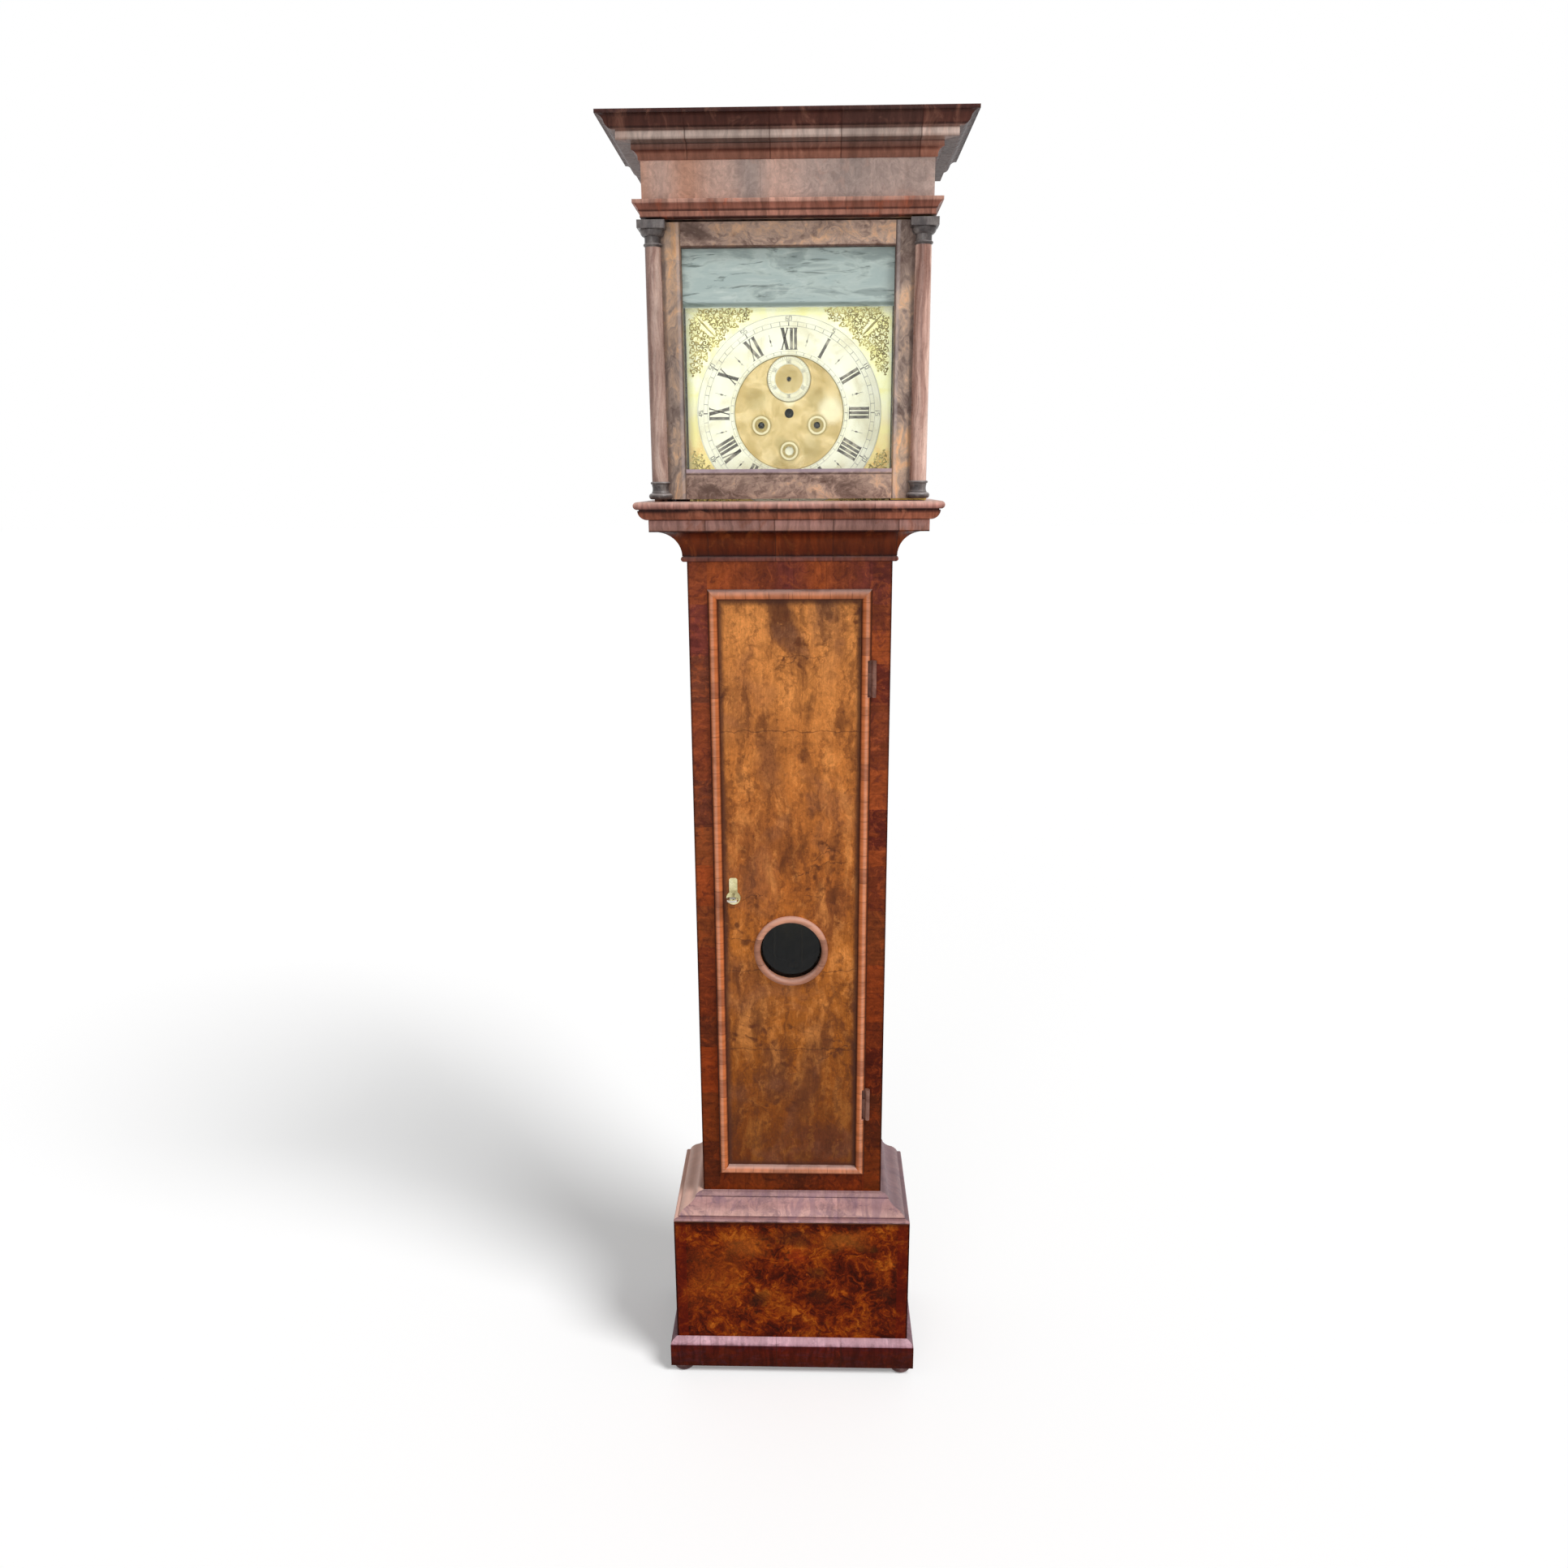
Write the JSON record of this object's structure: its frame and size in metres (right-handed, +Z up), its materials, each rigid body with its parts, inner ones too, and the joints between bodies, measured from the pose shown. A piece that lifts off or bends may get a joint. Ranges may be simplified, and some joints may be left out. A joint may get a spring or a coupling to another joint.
{
  "type": "longcase clock",
  "caption": "Tall walnut longcase clock with a flat-topped hood, columned glazed door, brass dial, long trunk door with a round window, and a box base.",
  "frame": {"origin": "centre of the plan of the whole clock, at floor level", "axes": "+Z up, -Y towards the viewer in front of the dial, +X to the viewer's right"},
  "size_m": [0.525, 0.272, 2.1],
  "materials": {
    "walnut_veneer": "waxed figured walnut veneer",
    "cross_grain_walnut": "waxed cross-grained walnut moulding",
    "ebonised_wood": "ebonised, worn",
    "oak": "bare old oak",
    "brass": "old brass, lightly tarnished",
    "silvered_brass": "silvered brass with black wax-filled numerals",
    "steel": "old steel",
    "cast_iron": "rough cast iron",
    "glass": "old clear glass",
    "gut": "gut line"
  },
  "bodies": {
    "case": {"base_panels": "walnut_veneer", "skirting": "cross_grain_walnut", "base_moulding": "cross_grain_walnut", "feet": "ebonised_wood", "trunk_front": "walnut_veneer", "trunk_sides": "walnut_veneer", "throat_moulding": "cross_grain_walnut", "backboard": "oak", "seatboard": "oak", "trunk_hinge_fixed_leaves": "brass", "dial_plate": "brass", "chapter_ring": "silvered_brass", "seconds_ring": "silvered_brass", "spandrels": "brass", "movement_frame": "brass", "back_cock": "brass", "bell": "brass", "bell_stand": "steel", "line_ends": "gut", "going_line": "gut", "strike_line": "gut"},
    "trunk_door": {"trunk_door_panel": "walnut_veneer", "trunk_door_moulding": "cross_grain_walnut", "lenticle_ring": "cross_grain_walnut", "lenticle_glass": "glass", "trunk_hinge_door_leaves": "brass", "lock_case": "steel", "escutcheon": "brass"},
    "trunk_key": {"trunk_key": "steel"},
    "lock_bolt": {"lock_bolt": "steel"},
    "hood": {"hood_sides": "walnut_veneer", "hood_rails": "walnut_veneer", "hood_base_moulding": "cross_grain_walnut", "architrave_moulding": "cross_grain_walnut", "hood_frieze": "walnut_veneer", "hood_roof": "oak", "cornice": "cross_grain_walnut"},
    "hood_door": {"hood_door_stiles": "walnut_veneer", "hood_door_rails": "walnut_veneer", "hood_door_glass": "glass", "column_shafts": "walnut_veneer", "column_bases": "ebonised_wood", "column_capitals": "ebonised_wood", "hood_door_pivots": "brass"},
    "pendulum": {"pendulum_rod": "steel", "pendulum_bob": "brass"},
    "rating_nut": {"rating_nut": "brass"},
    "anchor": {"anchor": "steel"},
    "centre_wheel": {"centre_wheel": "brass"},
    "great_wheel": {"great_wheel": "brass"},
    "third_wheel": {"third_wheel": "brass"},
    "escape_wheel": {"escape_wheel": "brass"},
    "going_barrel": {"going_barrel": "brass"},
    "strike_barrel": {"strike_barrel": "brass"},
    "going_weight": {"going_weight": "cast_iron"},
    "strike_weight": {"strike_weight": "cast_iron"},
    "going_pulley": {"going_pulley": "brass"},
    "strike_pulley": {"strike_pulley": "brass"},
    "date_disc": {"date_disc": "brass"},
    "hammer": {"hammer": "steel"}
  },
  "joints": [
    {"name": "trunk_door_hinge", "type": "hinge", "parent": "case", "child": "trunk_door", "pos_m": [0.1358, -0.0403, 0.915], "axis": [0, 0, 1], "range_deg": [0, 110]},
    {"name": "key_turn", "type": "hinge", "parent": "trunk_door", "child": "trunk_key", "pos_m": [-0.098, -0.02, 0.928], "axis": [0, -1, 0], "range_deg": [0, 90]},
    {"name": "bolt_slide", "type": "slide", "parent": "trunk_door", "child": "lock_bolt", "axis": [-1, 0, 0], "range_m": [0, 0.008]},
    {"name": "hood_slide", "type": "slide", "parent": "case", "child": "hood", "axis": [0, -1, 0], "range_m": [0, 0.25]},
    {"name": "hood_door_hinge", "type": "hinge", "parent": "hood", "child": "hood_door", "pos_m": [0.207, -0.0535, 1.777], "axis": [0, 0, 1], "range_deg": [0, 90]},
    {"name": "pendulum_swing", "type": "hinge", "parent": "case", "child": "pendulum", "pos_m": [0, 0.104, 1.7923], "axis": [0, 1, 0], "range_deg": [-2.5, 2.5]},
    {"name": "anchor_rock", "type": "hinge", "parent": "case", "child": "anchor", "pos_m": [0, 0.053, 1.7923], "axis": [0, 1, 0], "range_deg": [-2.6, 2.6]},
    {"name": "rating_nut_turn", "type": "hinge", "parent": "pendulum", "child": "rating_nut", "pos_m": [0, 0.104, 0.7445], "axis": [0, 0, 1], "continuous": true},
    {"name": "centre_turn", "type": "hinge", "parent": "case", "child": "centre_wheel", "pos_m": [0, 0.02, 1.71], "axis": [0, 1, 0], "continuous": true},
    {"name": "great_turn", "type": "hinge", "parent": "case", "child": "great_wheel", "pos_m": [0.0428, 0.07, 1.69239], "axis": [0, 1, 0], "continuous": true},
    {"name": "third_turn", "type": "hinge", "parent": "case", "child": "third_wheel", "pos_m": [0.01864, 0.024, 1.73844], "axis": [0, 1, 0], "continuous": true},
    {"name": "escape_turn", "type": "hinge", "parent": "case", "child": "escape_wheel", "pos_m": [0, 0.053, 1.7598], "axis": [0, 1, 0], "continuous": true},
    {"name": "date_turn", "type": "hinge", "parent": "case", "child": "date_disc", "pos_m": [0, -0.025, 1.6366], "axis": [0, 1, 0], "continuous": true},
    {"name": "hammer_swing", "type": "hinge", "parent": "case", "child": "hammer", "pos_m": [-0.066, 0.044, 1.765], "axis": [0, 1, 0], "range_deg": [-12, 0]},
    {"name": "going_weight_slide", "type": "slide", "parent": "case", "child": "going_weight", "axis": [0, 0, 1], "range_m": [0, 1.15], "deforming": ["going_line"]},
    {"name": "going_pulley_turn", "type": "hinge", "parent": "going_weight", "child": "going_pulley", "pos_m": [0.0368, 0.045, 0.35], "axis": [0, 1, 0], "range_deg": [0, 3240]},
    {"name": "going_winding", "type": "hinge", "parent": "case", "child": "going_barrel", "pos_m": [0.0428, 0.045, 1.69239], "axis": [0, 1, 0], "range_deg": [0, 5000]},
    {"name": "strike_weight_slide", "type": "slide", "parent": "case", "child": "strike_weight", "axis": [0, 0, 1], "range_m": [0, 1.15], "deforming": ["strike_line"]},
    {"name": "strike_pulley_turn", "type": "hinge", "parent": "strike_weight", "child": "strike_pulley", "pos_m": [-0.0488, 0.045, 0.35], "axis": [0, 1, 0], "range_deg": [0, 3240]},
    {"name": "strike_winding", "type": "hinge", "parent": "case", "child": "strike_barrel", "pos_m": [-0.0428, 0.045, 1.69239], "axis": [0, 1, 0], "range_deg": [0, 5000]}
  ],
  "couplings": [
    {"joint": "key_turn", "follows": "bolt_slide", "rad_per_m": 196},
    {"joint": "anchor_rock", "follows": "pendulum_swing", "ratio": 1},
    {"joint": "great_turn", "follows": "centre_turn", "ratio": -0.083333},
    {"joint": "third_turn", "follows": "centre_turn", "ratio": -7.5},
    {"joint": "escape_turn", "follows": "centre_turn", "ratio": 60},
    {"joint": "going_pulley_turn", "follows": "going_weight_slide", "rad_per_m": 49.02},
    {"joint": "going_winding", "follows": "going_weight_slide", "rad_per_m": 75.758},
    {"joint": "strike_pulley_turn", "follows": "strike_weight_slide", "rad_per_m": 49.02},
    {"joint": "strike_winding", "follows": "strike_weight_slide", "rad_per_m": 75.758}
  ]
}
